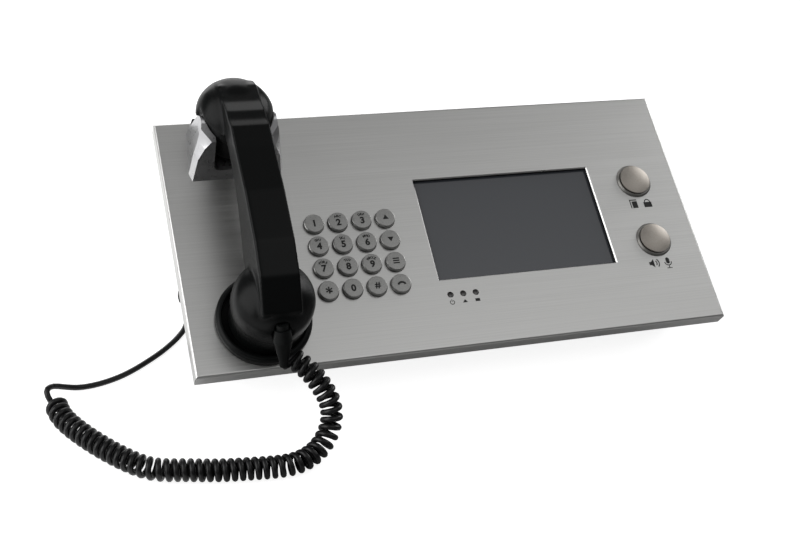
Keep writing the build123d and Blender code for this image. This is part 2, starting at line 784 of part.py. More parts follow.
with BuildPart() as handset_body:
    with BuildSketch(side_at(handset_x)):
        with BuildLine():
            Polyline(*spine, close=True)
        make_face()
    extrude(amount=back_half_width, both=True)
    with BuildSketch(section_at(ear_x, ear_slope)):
        with BuildLine():
            Polyline((0, 59), (0, ear_rim), (ear_radius, ear_rim), (ear_radius, 37))
            Spline(
                (ear_radius, 37), (27, 44.5), (22, 51.5), (14, 56.6), (0, 59),
                tangents=[(0, 1), (-1, 0)],
            )
        make_face()
    revolve(axis=normal_at(ear_x, ear_slope))
    with BuildSketch(on_deck(handset_x, ear_slope, ear_rim)):
        with Locations((0, lug_relief - 20)):
            Rectangle(80, 40)
        Circle(pocket_radius - 0.5, mode=Mode.SUBTRACT)
    extrude(amount=lug_top + 1.2 - ear_rim, mode=Mode.SUBTRACT)
    with BuildSketch(section_at(handset_x, mouth_slope)):
        with BuildLine():
            Polyline((0, 58), (0, mouth_rim), (mouth_radius, mouth_rim), (mouth_radius, 35))
            Spline(
                (mouth_radius, 35), (26.4, 46), (17, 54.6), (0, 58),
                tangents=[(0, 1), (-1, 0)],
            )
        make_face()
    revolve(axis=normal_at(handset_x, mouth_slope))
    with BuildSketch(side_at(handset_x)):
        with BuildLine():
            Polyline(*cavity, close=True)
        make_face()
    extrude(amount=back_half_width - shell, both=True, mode=Mode.SUBTRACT)
    with BuildSketch(on_deck(handset_x, ear_slope, ear_rim)):
        Circle(ear_pocket)
    extrude(amount=14, mode=Mode.SUBTRACT)
    with BuildSketch(on_deck(handset_x, mouth_slope, mouth_rim)):
        Circle(mouth_pocket)
    extrude(amount=14, mode=Mode.SUBTRACT)
    with BuildSketch(boot_cut):
        with BuildLine():
            Polyline(*boot_outline(boot_plug + boot_fit, boot_fit))
        make_face()
    revolve(axis=boot_axis, mode=Mode.SUBTRACT)
save(handset_body, "handset_body")

# Screw-on caps with their sound holes, and the capsules in them
ear_cap_bottom, mouth_cap_bottom = cradle_floor + 0.3, cup_floor + 0.3
with BuildPart() as ear_cap:
    with BuildSketch(section_at(handset_x, ear_slope)):
        with BuildLine():
            Polyline(
                (0, ear_cap_bottom), (22.5, ear_cap_bottom), (25.5, ear_cap_bottom + 3), (25.5, ear_rim),
                (ear_pocket - 0.1, ear_rim), (ear_pocket - 0.1, ear_rim + 5), (20.9, ear_rim + 5),
                (20.9, ear_cap_bottom + 2.2), (0, ear_cap_bottom + 2.2), close=True,
            )
        make_face()
    revolve(axis=normal_at(handset_x, ear_slope))
    with BuildSketch(on_deck(handset_x, ear_slope, ear_cap_bottom - 1)):
        Circle(1)
        for ring in (1, 2, 3):
            with PolarLocations(4.5 * ring, 6 * ring):
                Circle(1)
    extrude(amount=6, mode=Mode.SUBTRACT)
save(ear_cap, "ear_cap")

with BuildPart() as mouth_cap:
    with BuildSketch(section_at(handset_x, mouth_slope)):
        with BuildLine():
            Polyline(
                (0, mouth_cap_bottom), (24.5, mouth_cap_bottom), (28, mouth_cap_bottom + 3.5),
                (28, mouth_rim), (mouth_pocket - 0.1, mouth_rim),
                (mouth_pocket - 0.1, mouth_rim + 2.5), (23.7, mouth_rim + 2.5),
                (23.7, mouth_cap_bottom + 2.4), (0, mouth_cap_bottom + 2.4),
                close=True,
            )
        make_face()
    revolve(axis=normal_at(handset_x, mouth_slope))
    with BuildSketch(on_deck(handset_x, mouth_slope, mouth_cap_bottom - 1)):
        Circle(1)
        with PolarLocations(6, 6):
            Circle(1)
    extrude(amount=6, mode=Mode.SUBTRACT)
save(mouth_cap, "mouth_cap")

with BuildPart() as earpiece_capsule:
    with BuildSketch(on_deck(handset_x, ear_slope, ear_cap_bottom + 2.2)):
        Circle(20.8)
    extrude(amount=9)
    with BuildSketch(on_deck(handset_x, ear_slope, ear_cap_bottom + 11.2)):
        Circle(14)
    extrude(amount=5)
save(earpiece_capsule, "earpiece_capsule")

with BuildPart() as mouthpiece_capsule:
    with BuildSketch(on_deck(handset_x, mouth_slope, mouth_cap_bottom + 2.4)):
        Circle(23.6)
    extrude(amount=8)
    with BuildSketch(on_deck(handset_x, mouth_slope, mouth_cap_bottom + 10.4)):
        Circle(12)
    extrude(amount=4)
save(mouthpiece_capsule, "mouthpiece_capsule")

# Tapered rubber boot where the cord leaves the handset
with BuildPart() as handset_boot:
    with BuildSketch(boot_cut):
        with BuildLine():
            Polyline(*boot_outline(boot_plug))
        make_face()
    revolve(axis=boot_axis)
save(handset_boot, "handset_boot")

# Gland on the housing's left wall, with an elbow that points forwards along the wall
outlet = desk(-198.8, 114.8, 8.1)
outlet_rise = 18
outlet_way = Vector(0, cos(radians(outlet_rise)), sin(radians(outlet_rise)))
with BuildPart() as cord_gland:
    with BuildSketch(Plane.YZ.offset(-half_width)):
        with Locations((gland_y, gland_z)):
            RegularPolygon(7, 6)
    extrude(amount=-2.4)
    with BuildSketch(Plane.YZ.offset(-half_width)):
        with Locations((gland_y, gland_z)):
            Circle(gland_thread)
    extrude(amount=8)
    with BuildSketch(Plane.YZ.offset(-half_width - 2.4)):
        with Locations((gland_y, gland_z - 1.6)):
            RectangleRounded(9.4, 9.4, 3)
    extrude(amount=-10.8)
    fillet(cord_gland.faces().sort_by(Axis.X)[0].edges(), radius=2)
    with BuildSketch(Plane(origin=outlet, z_dir=outlet_way)):
        Circle(3)
    with BuildSketch(Plane(origin=outlet + outlet_way * 6, z_dir=outlet_way)):
        Circle(4)
    loft()
save(cord_gland, "cord_gland")

with BuildPart() as gland_nut:
    with BuildSketch(Plane.YZ.offset(-half_width + wall)):
        with Locations((gland_y, gland_z)):
            RegularPolygon(7, 6)
            Circle(gland_thread + thread_gap, mode=Mode.SUBTRACT)
    extrude(amount=3)
save(gland_nut, "gland_nut")


def round_corners(points):
    """Radii of the largest arcs that fit the corners of a cord's route."""
    runs = [b - a for a, b in zip(points, points[1:])]
    radii = []
    for before, after in zip(runs, runs[1:]):
        turn = radians(before.get_angle(after))
        radii.append(0.45 * min(before.length, after.length) / tan(turn / 2))
    return radii


def tube(route, radius):
    """Round tube along a path, started square to it."""
    with BuildPart() as solid:
        with BuildSketch(Plane(origin=route @ 0, z_dir=route % 0)):
            Circle(radius)
        sweep(path=route)
    print("tube volume", round(solid.part.volume, 1))
    print("section times length", round(pi * radius**2 * route.length, 1))
    return solid


# Straight tail of the cord: it lies on the desk from the coil's end to the gland
rest_z = 2.2
tail_way = Vector(0.876, 0.211, -0.433).normalized()
tail_start = desk(-297.3, 40.7, 6.3)
tail_points = [
    tail_start,
    tail_start + tail_way * 9,
    desk(-279.7, 42.9, rest_z),
    desk(-268.5, 45.2, rest_z),
    desk(-257.2, 49.2, rest_z),
    desk(-246.1, 55.2, rest_z),
    desk(-235.0, 62.7, rest_z),
    desk(-223.9, 70.9, rest_z),
    desk(-213.1, 81.1, rest_z),
    desk(-208.0, 87.1, rest_z),
    desk(-203.2, 93.4, 2.4),
    desk(-199.9, 100.6, 3.5),
    outlet - outlet_way * 7,
    outlet,
]
tail_radii = round_corners(tail_points)
with BuildLine() as tail_line:
    FilletPolyline(*tail_points, radius=tail_radii)
tail_wire = tail_line.wires()[0]
print("cord tail length", round(tail_wire.length, 1), "radii", [round(r, 1) for r in tail_radii])
cord_tail = tube(tail_wire, wire / 2)
save(cord_tail, "cord_tail")

# Curly cord: the line that its curls go round, from beside the boot to the desk and along it
coil_z = coil_radius + rest_z
coil_points = [
    desk(-147.0, -5.5, 53.6),
    desk(-143.0, -9.0, 51.5),
    desk(-137.1, -14.2, 48.5),
    desk(-132.0, -20.4, 44.1),
    desk(-127.7, -26.2, 38.6),
    desk(-124.2, -31.7, 32.2),
    desk(-123.3, -37.2, 25.0),
    desk(-125.2, -42.8, 18.2),
    desk(-129.7, -48.7, 12.9),
    desk(-136.0, -54.5, 9.7),
    desk(-143.5, -59.4, 8.4),
    desk(-152.0, -62.9, coil_z),
    desk(-161.0, -64.3, coil_z),
    desk(-173, -63.8, coil_z),
    desk(-186.5, -62.3, coil_z),
    desk(-201, -60.8, coil_z),
    desk(-215.6, -58.2, coil_z),
    desk(-229.4, -55.1, coil_z),
    desk(-242, -52.9, coil_z),
    desk(-252.2, -49.3, coil_z),
    desk(-262, -42, coil_z),
    desk(-272.3, -32.2, coil_z),
    desk(-283, -20.2, coil_z),
    desk(-293.2, -7, coil_z),
    desk(-301, 5.4, coil_z),
    desk(-304.6, 15.4, coil_z),
    desk(-305.4, 22.6, coil_z),
]
coil_radii = round_corners(coil_points)
with BuildLine() as coil_axis:
    FilletPolyline(*coil_points, radius=coil_radii)
axis_wire = coil_axis.wires()[0]
print("coil axis length", round(axis_wire.length, 1), "radii", [round(r, 1) for r in coil_radii])


def axis_way(along):
    """Direction of the coil's line so far along it."""
    return axis_wire.tangent_at(min(max(along / axis_wire.length, 0), 1))


def pitch_at(along):
    """Distance between curls: wider near the handset, and on a bend wide enough to clear."""
    span = 6
    bend = radians(axis_way(along - span).get_angle(axis_way(along + span))) / (2 * span)
    pulled = rest_pitch + stretch * exp(-((along / stretch_length) ** 2))
    return max(pulled, (wire + curl_gap) / (1 - coil_radius * bend))


# Distance along the coil's line at every quarter turn
quarter = 4
marks = [0.0]
while marks[-1] < axis_wire.length - rest_pitch / quarter:
    marks.append(marks[-1] + pitch_at(marks[-1]) / quarter)
first_turns = 0.7
first_mark = 2
start_angle = 100


def coil_point(index):
    """Centre of the wire after so many quarter turns, which may be a fraction."""
    whole = min(int(index), len(marks) - 2)
    along = marks[whole] + (index - whole) * (marks[whole + 1] - marks[whole])
    centre = axis_wire.position_at(along / axis_wire.length)
    forward = axis_way(along)
    upward = (Vector(0, 0, 1) - forward * forward.Z).normalized()
    sideways = forward.cross(upward)
    turn = radians(start_angle) + index * pi / 2
    opening = min(index / (first_turns * quarter), 1)
    radius = coil_radius * (1 - (1 - opening) ** 2)
    return centre + upward * (radius * cos(turn)) + sideways * (radius * sin(turn))


def coil_way(index):
    """Direction of the wire there."""
    step = 0.02
    return (coil_point(index + step) - coil_point(max(index - step, 0))).normalized()


def biarc(start, start_way, end, end_way):
    """Two tangent arcs that leave one point in its direction and reach the next in its own."""
    gap = end - start
    ways = start_way + end_way
    bend = 2 * (1 - start_way.dot(end_way))
    along = gap.dot(ways)
    if bend < 1e-9:
        reach = gap.dot(gap) / (2 * along)
    else:
        reach = (-along + (along**2 + bend * gap.dot(gap)) ** 0.5) / bend
    first, last = start + start_way * reach, end - end_way * reach
    middle = (first + last) / 2
    return [
        TangentArc(start, middle, tangent=start_way, mode=Mode.PRIVATE),
        TangentArc(middle, end, tangent=last - first, mode=Mode.PRIVATE),
    ]


boot_exit = boot_tip + boot_way * (0.7 * wire)
nodes = [(boot_exit, boot_way)]
nodes += [(coil_point(i), coil_way(i)) for i in range(first_mark, len(marks) - 1)]
nodes += [
    (desk(-311.9, 31.2, 12.4), Vector(0.25, 0.78, 0.58).normalized()),
    (desk(-307.6, 36.6, 13.2), Vector(0.86, 0.5, -0.12).normalized()),
    (tail_start - tail_way * wire, tail_way),
]
edges = [Line(boot_tip, boot_exit, mode=Mode.PRIVATE)]
for (start, start_way), (end, end_way) in zip(nodes, nodes[1:]):
    edges += biarc(start, start_way, end, end_way)
edges.append(Line(tail_start - tail_way * wire, tail_start, mode=Mode.PRIVATE))
tightest = min(edge.radius for edge in edges if edge.geom_type == GeomType.CIRCLE)
curl_wire = Wire(edges)
print("curls", round((len(marks) - first_mark) / quarter, 1), "wire length", round(curl_wire.length, 1))
print("tightest arc", round(tightest, 2), "of a wire of radius", wire / 2)

# Least gap between the wire and itself, on points half a turn or more apart
samples = []
for edge in edges:
    count = max(2, ceil(edge.length / 0.8))
    samples += [edge.position_at(i / count) for i in range(count)]
spacing = curl_wire.length / len(samples)
half_turn = ceil(pi * coil_radius / spacing / 1.6)
reach = 6 * half_turn
least = min(
    (samples[i] - samples[j]).length
    for i in range(len(samples))
    for j in range(i + half_turn, min(i + reach, len(samples)))
)
print("least gap of the curls", round(least - wire, 2))
curly_cord = tube(curl_wire, wire / 2)
save(curly_cord, "curly_cord")
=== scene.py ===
import bisect
from math import cos, exp, pi, radians, sin

import bmesh
import bpy
from mathutils import Matrix, Vector


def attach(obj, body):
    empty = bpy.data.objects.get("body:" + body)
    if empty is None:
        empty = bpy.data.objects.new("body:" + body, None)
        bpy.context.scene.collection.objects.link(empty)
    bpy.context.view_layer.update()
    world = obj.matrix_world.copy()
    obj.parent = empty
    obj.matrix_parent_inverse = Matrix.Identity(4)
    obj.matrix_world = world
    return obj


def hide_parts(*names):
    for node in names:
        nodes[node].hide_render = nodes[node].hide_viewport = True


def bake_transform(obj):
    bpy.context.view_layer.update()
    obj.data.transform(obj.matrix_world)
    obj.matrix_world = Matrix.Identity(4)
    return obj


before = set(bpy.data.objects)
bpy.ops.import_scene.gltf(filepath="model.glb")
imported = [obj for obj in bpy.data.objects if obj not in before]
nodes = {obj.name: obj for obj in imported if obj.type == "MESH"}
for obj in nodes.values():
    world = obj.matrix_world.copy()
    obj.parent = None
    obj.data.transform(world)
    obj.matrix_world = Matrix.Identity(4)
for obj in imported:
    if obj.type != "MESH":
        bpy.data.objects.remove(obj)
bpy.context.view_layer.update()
scene = bpy.context.scene
scene.view_settings.view_transform = "Standard"

# Studio. The eye is high over the left front of the desk, behind a long lens. The station stands
# on white paper under soft light that is brightest to its right and falls off behind it.
eye = bpy.data.objects.new("eye", bpy.data.cameras.new("eye"))
scene.collection.objects.link(eye)
scene.camera = eye
eye.data.sensor_width, eye.data.lens = 36, 55.31
eye.data.clip_start, eye.data.clip_end = 0.02, 50
eye_right, eye_up = Vector((0.94498, -0.30227, 0.12511)), Vector((0.09378, 0.61671, 0.78159))
eye.matrix_world = Matrix((eye_right, eye_up, eye_right.cross(eye_up))).transposed().to_4x4()
eye.location = (-0.339, -0.70705, 0.6306)


def put_together(tree, operation, one, other):
    """Result of a sum on two values, each a socket or a number."""
    node = tree.nodes.new("ShaderNodeMath")
    node.operation = operation
    for socket, value in zip(node.inputs, (one, other)):
        if isinstance(value, bpy.types.NodeSocket):
            tree.links.new(value, socket)
        else:
            socket.default_value = value
    return node.outputs[0]


def moved_range(tree, value, source, target):
    """Value carried over from one range to another, and held inside it."""
    node = tree.nodes.new("ShaderNodeMapRange")
    for label, limit in zip(("From Min", "From Max", "To Min", "To Max"), (*source, *target)):
        node.inputs[label].default_value = limit
    tree.links.new(value, node.inputs["Value"])
    return node.outputs["Result"]


def part_of(tree, vector, axis):
    """One coordinate of a vector."""
    node = tree.nodes.new("ShaderNodeSeparateXYZ")
    tree.links.new(vector, node.inputs[0])
    return node.outputs[axis]


# The paper glows a little to the eye, and polished parts mirror that glow only left of the station.
square = ((-1, -1), (1, -1), (1, 1), (-1, 1))
paper_half, paper_grey, paper_glow, mirrored_from, mirrored_to = 8, 0.45, 0.88, -0.2, -0.24
paper = bpy.data.meshes.new("paper")
paper.from_pydata([(x * paper_half, y * paper_half, 0) for x, y in square], [], [(0, 1, 2, 3)])
paper_sheet = bpy.data.objects.new("paper", paper)
scene.collection.objects.link(paper_sheet)
paper_look = bpy.data.materials.new("white_paper")
paper_look.use_nodes = True
tree = paper_look.node_tree
tree.nodes.clear()
rays = tree.nodes.new("ShaderNodeLightPath").outputs
place = tree.nodes.new("ShaderNodeNewGeometry").outputs["Position"]
beside = moved_range(tree, part_of(tree, place, "X"), (mirrored_from, mirrored_to), (0, 1))
mirrored = put_together(tree, "MULTIPLY", rays["Is Glossy Ray"], beside)
shown = put_together(tree, "MAXIMUM", mirrored, rays["Is Camera Ray"])
glow = tree.nodes.new("ShaderNodeEmission")
tree.links.new(put_together(tree, "MULTIPLY", shown, paper_glow), glow.inputs["Strength"])
diffuse = tree.nodes.new("ShaderNodeBsdfDiffuse")
diffuse.inputs["Color"].default_value = (paper_grey, paper_grey, paper_grey, 1)
both = tree.nodes.new("ShaderNodeAddShader")
tree.links.new(diffuse.outputs[0], both.inputs[0])
tree.links.new(glow.outputs[0], both.inputs[1])
tree.links.new(both.outputs[0], tree.nodes.new("ShaderNodeOutputMaterial").inputs["Surface"])
paper.materials.append(paper_look)

# The soft light overhead is a broad spot on the sky, which is white to the eye.
bright_way, bright_edge, sky_levels, least_sky = (0.38, -0.36, 0.87), (0.85, 1), (0.24, 1.3), 0.04
scene.world = bpy.data.worlds.new("studio")
scene.world.use_nodes = True
tree = scene.world.node_tree
sky = tree.nodes["Background"]
sky.inputs["Color"].default_value = (1, 1, 1, 1)
way = tree.nodes.new("ShaderNodeTexCoord").outputs["Generated"]
toward = tree.nodes.new("ShaderNodeVectorMath")
toward.operation = "DOT_PRODUCT"
toward.inputs[1].default_value = Vector(bright_way).normalized()
tree.links.new(way, toward.inputs[0])
level = moved_range(tree, toward.outputs["Value"], bright_edge, sky_levels)
held = tree.nodes.new("ShaderNodeClamp")
held.inputs["Min"].default_value, held.inputs["Max"].default_value = least_sky, sky_levels[1]
tree.links.new(put_together(tree, "MULTIPLY", level, part_of(tree, way, "Z")), held.inputs["Value"])
rays = tree.nodes.new("ShaderNodeLightPath").outputs
seen = put_together(tree, "MAXIMUM", rays["Is Camera Ray"], held.outputs[0])
tree.links.new(seen, sky.inputs["Strength"])

for name, place, power, size in (
    ("soft_left", (-1.35, -0.15, 0.75), 18, 1.4),
    ("soft_right", (1.3, 0.6, 0.7), 8, 0.8),
    ("soft_back", (-0.1, 1.5, 0.6), 9, 1.2),
):
    lamp = bpy.data.objects.new(name, bpy.data.lights.new(name, "AREA"))
    lamp.data.energy, lamp.data.size = power, size
    lamp.location = place
    lamp.rotation_euler = (-Vector(place)).to_track_quat("-Z", "Y").to_euler()
    scene.collection.objects.link(lamp)

# Handset cord. One black rubber-jacketed cord, 4.2 mm thick: it leaves the boot of the handset in
# tight curls that its own weight pulls apart, lies on the desk, and ends as a straight tail that
# goes round the station's left side into the gland.
tilt = radians(25)
front_edge = Vector((0, -0.08905, 0.038))
across = Vector((1, 0, 0))
uphill, outward = Vector((0, cos(tilt), sin(tilt))), Vector((0, -sin(tilt), cos(tilt)))


def on_deck(x, slope, height=0.0, turn=0.0):
    """Frame of a spot on the face plate: millimetres across, up its slope and out of it."""
    spot = Matrix((across, uphill, outward)).transposed().to_4x4()
    spot = spot @ Matrix.Rotation(radians(turn), 4, "Z")
    spot.translation = front_edge + (across * x + uphill * slope + outward * height) / 1000
    return spot


def over_desk(x, y, z):
    """Point over the desk: millimetres, with y measured back from the plate's front edge."""
    return Vector((x / 1000, front_edge.y + y / 1000, z / 1000))


def smooth_line(name, points, steps):
    """Curve with these points as its controls."""
    line = bpy.data.curves.new(name, "CURVE")
    line.dimensions = "3D"
    line.resolution_u = steps
    spline = line.splines.new("NURBS")
    spline.points.add(len(points) - 1)
    for control, point in zip(spline.points, points):
        control.co = (*point, 1)
    spline.order_u = 3
    spline.use_endpoint_u = True
    return line


def made_mesh(data, name):
    """Plain mesh of a curve, a text or an object with its modifiers."""
    holder = data if isinstance(data, bpy.types.Object) else bpy.data.objects.new(name, data)
    if holder.name not in scene.collection.objects:
        scene.collection.objects.link(holder)
    bpy.context.view_layer.update()
    finished = holder.evaluated_get(bpy.context.evaluated_depsgraph_get())
    mesh = bpy.data.meshes.new_from_object(finished)
    bpy.data.objects.remove(holder)
    mesh.name = name
    return mesh


def new_piece(name, mesh, material, body):
    """Piece with its material, riding on a body."""
    piece = bpy.data.objects.new(name, mesh)
    scene.collection.objects.link(piece)
    mesh.materials.clear()
    mesh.materials.append(material)
    if body:
        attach(piece, body)
    return piece


def surface(name, colour, rough, metal=0.0, gloss=0.5):
    """Plain material."""
    material = bpy.data.materials.new(name)
    material.use_nodes = True
    shader = material.node_tree.nodes["Principled BSDF"]
    shader.inputs["Base Color"].default_value = (*colour, 1)
    shader.inputs["Roughness"].default_value = rough
    shader.inputs["Metallic"].default_value = metal
    shader.inputs["Specular IOR Level"].default_value = gloss
    return material


grain_detail, grain_span = 3, (0.3, 0.7)


def mottled(material, fineness, colours=None, roughs=None, bump=0.0, depth=0.0001):
    """Adds a grain to a finish, in its colour, roughness or relief.

    Its fineness is in grains a metre: one number, or one for each axis.
    """
    tree = material.node_tree
    shader = tree.nodes["Principled BSDF"]
    place = tree.nodes.new("ShaderNodeTexCoord")
    stretch = tree.nodes.new("ShaderNodeMapping")
    by_axis = fineness if isinstance(fineness, tuple) else (fineness, fineness, fineness)
    stretch.inputs["Scale"].default_value = by_axis
    tree.links.new(place.outputs["Object"], stretch.inputs["Vector"])
    noise = tree.nodes.new("ShaderNodeTexNoise")
    noise.inputs["Scale"].default_value = 1
    noise.inputs["Detail"].default_value = grain_detail
    tree.links.new(stretch.outputs["Vector"], noise.inputs["Vector"])
    grain = noise.outputs["Fac"]
    if colours:
        ramp = tree.nodes.new("ShaderNodeValToRGB")
        for stop, position, colour in zip(ramp.color_ramp.elements, grain_span, colours):
            stop.position, stop.color = position, (*colour, 1)
        tree.links.new(grain, ramp.inputs["Fac"])
        tree.links.new(ramp.outputs["Color"], shader.inputs["Base Color"])
    if roughs:
        tree.links.new(moved_range(tree, grain, grain_span, roughs), shader.inputs["Roughness"])
    if bump:
        relief = tree.nodes.new("ShaderNodeBump")
        relief.inputs["Strength"].default_value = bump
        relief.inputs["Distance"].default_value = depth
        tree.links.new(grain, relief.inputs["Height"])
        if shader.inputs["Normal"].links:
            tree.links.new(shader.inputs["Normal"].links[0].from_socket, relief.inputs["Normal"])
        tree.links.new(relief.outputs["Normal"], shader.inputs["Normal"])
    return material


# Millimetres: the wire and the centre line of its curls, their pitch at rest, what their weight
# adds to it at the boot and over what length, and their least gap. A turn has 14 points.
wire, coil_radius = 4.2, 6
rest_pitch, stretch, stretch_length, curl_gap = 5.4, 0.9, 45, 0.95
per_turn, first_turns, start_turn, bend_span = 14, 0.7, 100, 0.006
line_steps, wire_steps, wire_sides = 12, 3, 3
boot_widths, tail_run, outlet_run, outlet_rise = 0.7, 0.009, 0.007, radians(18)
rest_z = 2.2
coil_z = coil_radius + rest_z
boot_foot = on_deck(-156, 11.5, 44).translation
boot_tip = on_deck(-154.3, -6, 20.5).translation
boot_way = (boot_tip - boot_foot).normalized()
coil_route = (
    (-147, -5.5, 53.6), (-143, -9, 51.5), (-137.1, -14.2, 48.5), (-132, -20.4, 44.1),
    (-127.7, -26.2, 38.6), (-124.2, -31.7, 32.2), (-123.3, -37.2, 25), (-125.2, -42.8, 18.2),
    (-129.7, -48.7, 12.9), (-136, -54.5, 9.7), (-143.5, -59.4, 8.4), (-152, -62.9, coil_z),
    (-161, -64.3, coil_z), (-173, -63.8, coil_z), (-186.5, -62.3, coil_z), (-201, -60.8, coil_z),
    (-215.6, -58.2, coil_z), (-229.4, -55.1, coil_z), (-242, -52.9, coil_z),
    (-252.2, -49.3, coil_z), (-262, -42, coil_z), (-272.3, -32.2, coil_z), (-283, -20.2, coil_z),
    (-293.2, -7, coil_z), (-301, 5.4, coil_z), (-304.6, 15.4, coil_z), (-305.4, 22.6, coil_z),
)
coil_line = smooth_line("coil_line", [over_desk(*point) for point in coil_route], line_steps)
middle = [v.co.copy() for v in made_mesh(coil_line, "coil_middle").vertices]
reached = [0.0]
for before, after in zip(middle, middle[1:]):
    reached.append(reached[-1] + (after - before).length)


def on_coil_line(along):
    """Point of the coil's line at that distance along it, and the line's direction there."""
    spot = min(max(bisect.bisect(reached, along), 1), len(middle) - 1)
    run = middle[spot] - middle[spot - 1]
    here = middle[spot - 1] + run * ((along - reached[spot - 1]) / run.length)
    return here, run.normalized()


# The curls are further apart near the boot, and on a bend far enough to clear each other.
turns, along = [], 0.0
while along < reached[-1]:
    turns.append(along)
    pulled = rest_pitch + stretch * exp(-((along * 1000 / stretch_length) ** 2))
    before, after = on_coil_line(along - bend_span)[1], on_coil_line(along + bend_span)[1]
    bend = before.angle(after) / (2000 * bend_span)
    along += max(pulled, (wire + curl_gap) / (1 - coil_radius * bend)) / 1000 / per_turn
curls = []
for index in range(per_turn // 2, len(turns)):
    centre, forward = on_coil_line(turns[index])
    upward = (Vector((0, 0, 1)) - forward * forward.z).normalized()
    sideways = forward.cross(upward)
    opening = min(index / per_turn / first_turns, 1)
    radius = coil_radius / 1000 * (1 - (1 - opening) ** 2) / cos(pi / per_turn)
    angle = radians(start_turn) + index * 2 * pi / per_turn
    curls.append(centre + upward * (radius * cos(angle)) + sideways * (radius * sin(angle)))

tail_way = Vector((0.876, 0.211, -0.433)).normalized()
tail_start = over_desk(-297.3, 40.7, 6.3)
tail_route = (
    (-279.7, 42.9, rest_z), (-268.5, 45.2, rest_z), (-257.2, 49.2, rest_z), (-246.1, 55.2, rest_z),
    (-235, 62.7, rest_z), (-223.9, 70.9, rest_z), (-213.1, 81.1, rest_z), (-208, 87.1, rest_z),
    (-203.2, 93.4, 2.4), (-199.9, 100.6, 3.5),
)
outlet = over_desk(-198.8, 114.8, 8.1)
outlet_way = Vector((0, cos(outlet_rise), sin(outlet_rise)))
tail = [over_desk(-311.9, 31.2, 12.4), over_desk(-307.6, 36.6, 13.2), tail_start]
tail += [tail_start + tail_way * tail_run] + [over_desk(*point) for point in tail_route]
tail += [outlet - outlet_way * outlet_run, outlet]
cord_points = [boot_tip, boot_tip + boot_way * boot_widths * wire / 1000] + curls + tail
cord_line = smooth_line("cord_line", cord_points, wire_steps)
cord_path = [v.co.copy() for v in made_mesh(cord_line, "cord_path").vertices]
cord_line.bevel_depth = wire / 2000
cord_line.bevel_resolution = wire_sides
cord_line.use_fill_caps = True
cord_rubber = surface("cord_rubber", (0.006, 0.006, 0.0065), 0.34, gloss=0.3)
mottled(cord_rubber, 900, roughs=(0.26, 0.42), bump=0.15)
cord_mesh = made_mesh(cord_line, "handset_cord")
cord_mesh.shade_smooth()
handset_cord = new_piece("handset_cord", cord_mesh, cord_rubber, None)
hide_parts("curly_cord", "cord_tail")
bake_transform(handset_cord)

# Face plate. Stainless sheet, 2 mm, folded down on all four sides and brushed from side to side
# after folding, so the brushing runs across the front and the sides alike.
brushed_steel = surface("brushed_steel", (0.57, 0.57, 0.56), 0.36, metal=1)
brushed_colours = ((0.55, 0.55, 0.54), (0.61, 0.61, 0.6))
mottled(brushed_steel, (9, 1300, 1300), brushed_colours, roughs=(0.32, 0.4), bump=0.1)
mottled(brushed_steel, (40, 4000, 4000), bump=0.1)


def dress(material, *names):
    """Gives CAD pieces their finish."""
    for name in names:
        for slot in nodes[name].material_slots:
            slot.material = material


dress(brushed_steel, "face_plate")

# Signs by the lamps and the buttons: cut into the steel with a laser and left black. A door with
# a padlock stands under one button, and a speaker with a microphone under the other.
sign_black = surface("sign_black", (0.02, 0.02, 0.02), 0.6, gloss=0.2)
mottled(sign_black, 2500, ((0.014, 0.014, 0.014), (0.03, 0.03, 0.03)), bump=0.2)
sign_bottom, sign_top = -0.05, 0.04


def box(left, low, right, high):
    """Outline of a rectangle, in millimetres."""
    return [(left, low), (right, low), (right, high), (left, high)]


def band(x, y, inner, outer, first, last, steps=14):
    """Outline of part of a ring, in millimetres, between two angles."""
    angles = [radians(first + (last - first) * i / steps) for i in range(steps + 1)]
    return [(x + outer * cos(a), y + outer * sin(a)) for a in angles] + [
        (x + inner * cos(a), y + inner * sin(a)) for a in reversed(angles)
    ]


def add_marks(marks, outlines, spot):
    """Adds flat marks with those outlines, in millimetres, that stand a hair out of a face."""
    for outline in outlines:
        low, high = (
            [marks.verts.new(spot @ Vector((x / 1000, y / 1000, level / 1000))) for x, y in outline]
            for level in (sign_bottom, sign_top)
        )
        marks.faces.new(high)
        marks.faces.new(reversed(low))
        for i in range(len(low)):
            j = (i + 1) % len(low)
            marks.faces.new((low[i], low[j], high[j], high[i]))
    bmesh.ops.recalc_face_normals(marks, faces=marks.faces)


def add_letters(marks, words, size, spot, bold):
    """Adds upright letters, centred on a spot and that much bolder, to a mesh of marks."""
    text = bpy.data.curves.new("letters", "FONT")
    text.body = words
    text.size = size / 1000
    text.offset = bold * size / 1000
    text.extrude = sign_top / 1000
    text.resolution_u = 3
    mesh = made_mesh(text, "letters")
    low = [min(v.co[i] for v in mesh.vertices) for i in (0, 1)]
    high = [max(v.co[i] for v in mesh.vertices) for i in (0, 1)]
    centre = Matrix.Translation((-(low[0] + high[0]) / 2, -(low[1] + high[1]) / 2, 0))
    mesh.transform(spot @ centre)
    marks.from_mesh(mesh)
    bpy.data.meshes.remove(mesh)


def finished_marks(marks, name, body):
    """Piece made of the marks, riding on a body."""
    mesh = bpy.data.meshes.new(name)
    marks.to_mesh(mesh)
    marks.free()
    return new_piece(name, mesh, sign_black, body)


